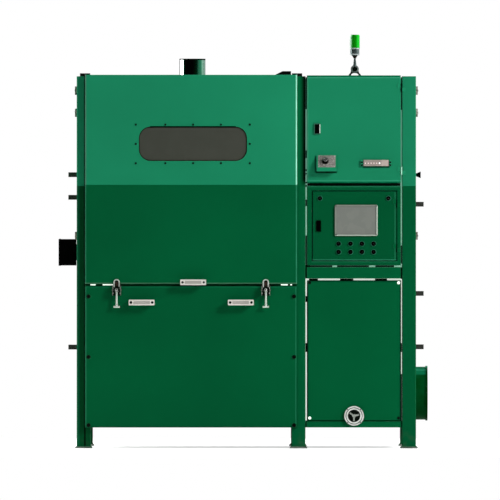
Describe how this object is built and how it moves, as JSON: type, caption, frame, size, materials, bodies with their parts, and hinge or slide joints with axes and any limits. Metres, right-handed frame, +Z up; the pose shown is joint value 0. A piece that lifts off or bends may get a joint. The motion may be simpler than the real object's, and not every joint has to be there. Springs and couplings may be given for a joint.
{
  "type": "barrel grinding machine",
  "caption": "Enclosed barrel grinding machine: chamber with windowed hood and latches, control cabinet beside it, exhaust duct and beacon on top.",
  "frame": {"origin": "middle of the footprint box, on the floor", "axes": "+X to the right seen from the front, +Y to the back, +Z up"},
  "size_m": [2.112, 1.401, 2.361],
  "materials": {
    "green_paint": "satin",
    "bare_steel": "satin",
    "zinc_steel": "satin",
    "bright_steel": "gloss",
    "handle_metal": "satin",
    "dark_metal": "satin",
    "cast_housing": "matte",
    "black_plastic": "satin",
    "smoked_pane": "gloss",
    "screen_glass": "gloss",
    "green_lens": "gloss",
    "pale_seal": "matte"
  },
  "bodies": {
    "frame": {"frame_posts": "green_paint", "foot_plates": "bare_steel", "front_rails": "green_paint", "bay_stiles": "green_paint", "rear_rails": "green_paint", "side_rails": "green_paint", "roof_sheet": "green_paint", "exhaust_duct": "green_paint", "left_side_panels": "green_paint", "right_side_panels": "green_paint", "rear_panels": "green_paint", "partition_wall": "zinc_steel", "chamber_tray": "bare_steel", "seal_strips": "pale_seal", "bay_covers": "green_paint", "hood_hinge_brackets": "dark_metal", "hood_stop": "dark_metal", "latch_strikes": "bright_steel", "lower_door": "green_paint", "lower_door_handles": "handle_metal", "door_hinges_fixed": "zinc_steel", "control_surround": "green_paint", "service_panel": "green_paint", "drain_fitting": "bright_steel", "beacon_bracket": "zinc_steel", "side_handles": "handle_metal", "side_plates": "dark_metal", "wing_knob": "black_plastic", "junction_box": "black_plastic", "round_guard": "green_paint", "grinding_barrel": "bare_steel", "barrel_shaft": "bright_steel", "barrel_bearings": "cast_housing", "cabinet_shelf": "zinc_steel", "cabinet_backplate": "zinc_steel"},
    "hood": {"front_hood": "green_paint", "window_pane": "smoked_pane", "window_frame": "dark_metal", "hood_hinge_leaves": "dark_metal", "hood_handle": "handle_metal", "latch_bodies": "bright_steel"},
    "left_latch_lever": {"latch_lever_left": "bright_steel"},
    "right_latch_lever": {"latch_lever_right": "bright_steel"},
    "upper_door": {"cabinet_door": "green_paint", "cabinet_door_leaves": "zinc_steel", "cabinet_door_lock": "black_plastic", "switch_console": "green_paint", "indicator_strip": "handle_metal"},
    "switch_knob": {"selector_knob": "black_plastic"},
    "inner_door": {"control_door": "green_paint", "control_door_leaves": "zinc_steel", "control_screen": "screen_glass", "push_buttons": "black_plastic", "control_locks": "black_plastic"},
    "drain_turner": {"drain_handle": "bright_steel"},
    "beacon": {"beacon_stem": "zinc_steel", "beacon_lens": "green_lens"}
  },
  "joints": [
    {"name": "hood_hinge", "type": "hinge", "parent": "frame", "child": "hood", "pos_m": [-0.298, -0.5995, 2.133], "axis": [-1, 0, 0], "range_deg": [0, 95]},
    {"name": "left_latch", "type": "hinge", "parent": "hood", "child": "left_latch_lever", "pos_m": [-0.722, -0.6695, 0.903], "axis": [-1, 0, 0], "range_deg": [0, 120]},
    {"name": "right_latch", "type": "hinge", "parent": "hood", "child": "right_latch_lever", "pos_m": [0.128, -0.6695, 0.903], "axis": [-1, 0, 0], "range_deg": [0, 120]},
    {"name": "upper_door_hinge", "type": "hinge", "parent": "frame", "child": "upper_door", "pos_m": [0.901, -0.6165, 1.82], "axis": [0, 0, 1], "range_deg": [0, 110]},
    {"name": "switch_turn", "type": "hinge", "parent": "upper_door", "child": "switch_knob", "pos_m": [0.467, -0.6367, 1.6365], "axis": [0, -0.8605, 0.5095], "range_deg": [0, 90]},
    {"name": "inner_door_hinge", "type": "hinge", "parent": "frame", "child": "inner_door", "pos_m": [0.874, -0.619, 1.269], "axis": [0, 0, 1], "range_deg": [0, 110]},
    {"name": "drain_turn", "type": "hinge", "parent": "frame", "child": "drain_turner", "pos_m": [0.631, -0.6245, 0.186], "axis": [0, -1, 0], "range_deg": [0, 90]},
    {"name": "beacon_fold", "type": "hinge", "parent": "frame", "child": "beacon", "pos_m": [0.636, -0.4595, 2.164], "axis": [0, 1, 0], "range_deg": [-90, 90]}
  ]
}
